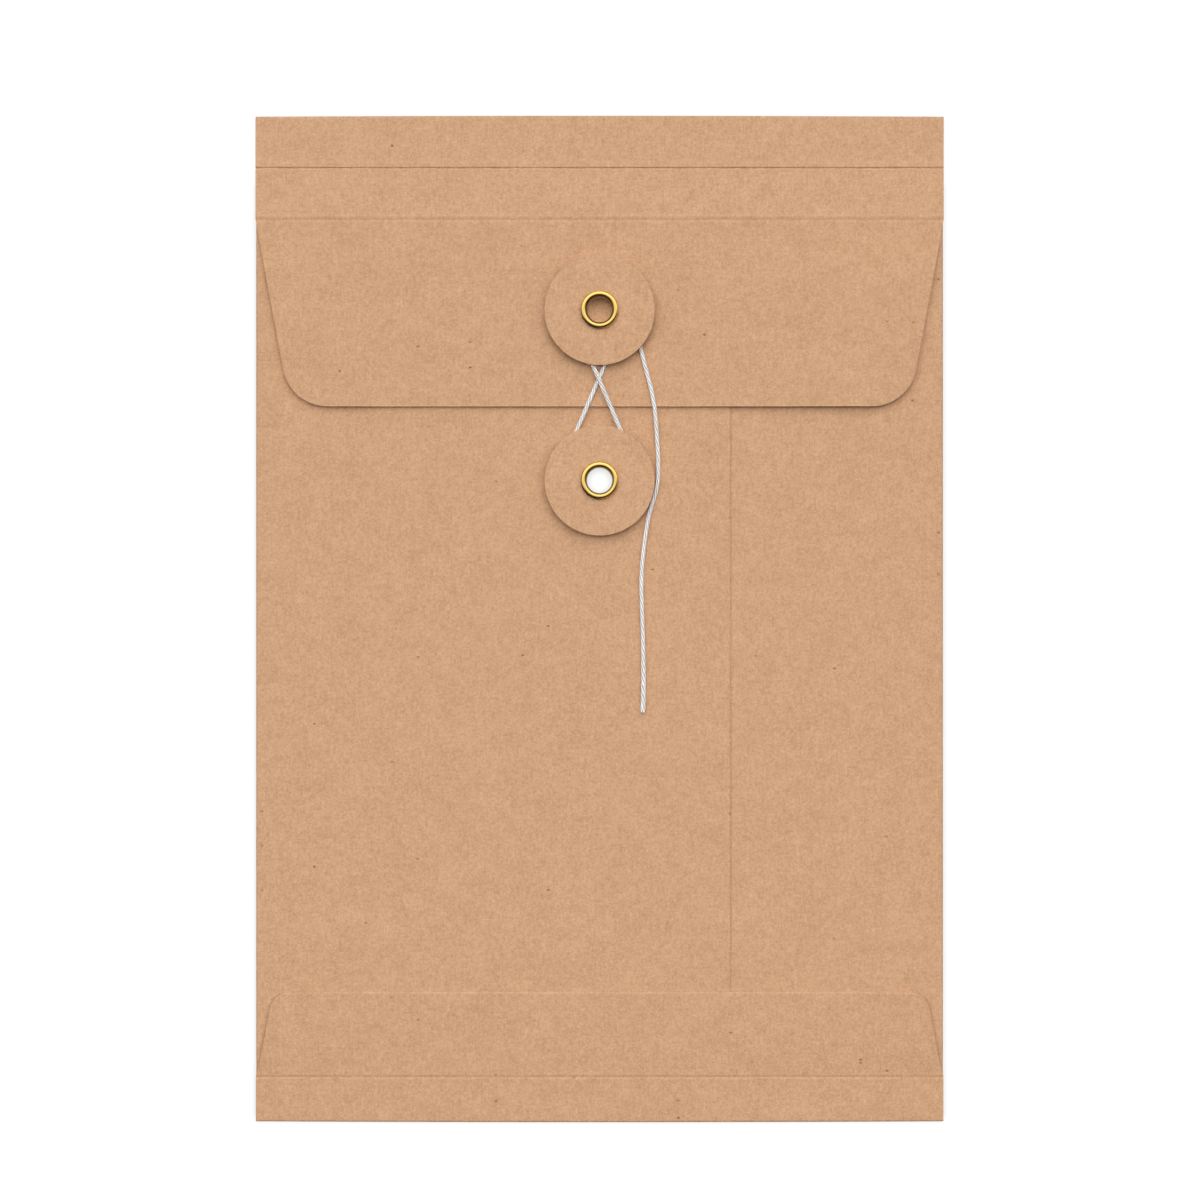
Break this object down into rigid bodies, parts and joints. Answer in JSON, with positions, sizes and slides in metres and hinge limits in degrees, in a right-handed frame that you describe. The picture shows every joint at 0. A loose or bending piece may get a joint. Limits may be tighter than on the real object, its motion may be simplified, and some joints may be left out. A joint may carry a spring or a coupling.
{
  "type": "string tie envelope",
  "caption": "Flat kraft paper envelope with a scored top flap, closed by a white string wound round riveted card discs. The flap hinges open at its fold and bends at two scores, and the discs turn.",
  "frame": {"origin": "centre of the back, on the surface the envelope lies on", "axes": "+Z out of the front, +Y towards the top fold, +X to the right seen from the front"},
  "size_m": [0.165, 0.2414, 0.0063],
  "materials": {
    "kraft_sheet": "matt natural kraft with fine fibre flecks",
    "kraft_card": "matt die-cut kraft card",
    "backing_paper": "matt kraft",
    "eyelet_brass": "polished brass",
    "white_string": "twisted white cotton",
    "glue": "dried paper glue"
  },
  "bodies": {
    "pocket": {"back_panel": "kraft_sheet", "left_side_fold": "kraft_sheet", "left_front_panel": "kraft_sheet", "right_side_fold": "kraft_sheet", "right_front_panel": "kraft_sheet", "seam_glue": "glue", "bottom_flap": "kraft_sheet", "bottom_flap_glue": "glue", "lower_backing_patch": "backing_paper", "lower_eyelet": "eyelet_brass"},
    "lower_disc": {"lower_washer": "kraft_card"},
    "flap_root": {"flap_first_band": "kraft_sheet"},
    "flap_middle": {"flap_second_band": "kraft_sheet"},
    "flap_end": {"flap_leaf": "kraft_sheet", "upper_backing_patch": "backing_paper", "upper_eyelet": "eyelet_brass", "string_knot": "white_string", "string_winding": "white_string", "string_tail": "white_string"},
    "upper_disc": {"upper_washer": "kraft_card"}
  },
  "joints": [
    {"name": "flap_fold", "type": "hinge", "parent": "pocket", "child": "flap_root", "pos_m": [0, 0.12065, 0.00205], "axis": [-1, 0, 0], "range_deg": [0, 150], "deforming": ["string_winding", "string_tail"]},
    {"name": "first_score_bend", "type": "hinge", "parent": "flap_root", "child": "flap_middle", "pos_m": [0, 0.10845, 0.00235], "axis": [-1, 0, 0], "range_deg": [0, 17.25]},
    {"name": "second_score_bend", "type": "hinge", "parent": "flap_middle", "child": "flap_end", "pos_m": [0, 0.09575, 0.00235], "axis": [-1, 0, 0], "range_deg": [0, 17.25]},
    {"name": "upper_disc_turn", "type": "hinge", "parent": "flap_end", "child": "upper_disc", "pos_m": [0, 0.07389, 0.0044], "axis": [0, 0, 1], "continuous": true},
    {"name": "lower_disc_turn", "type": "hinge", "parent": "pocket", "child": "lower_disc", "pos_m": [0, 0.03321, 0.0033], "axis": [0, 0, 1], "continuous": true}
  ]
}
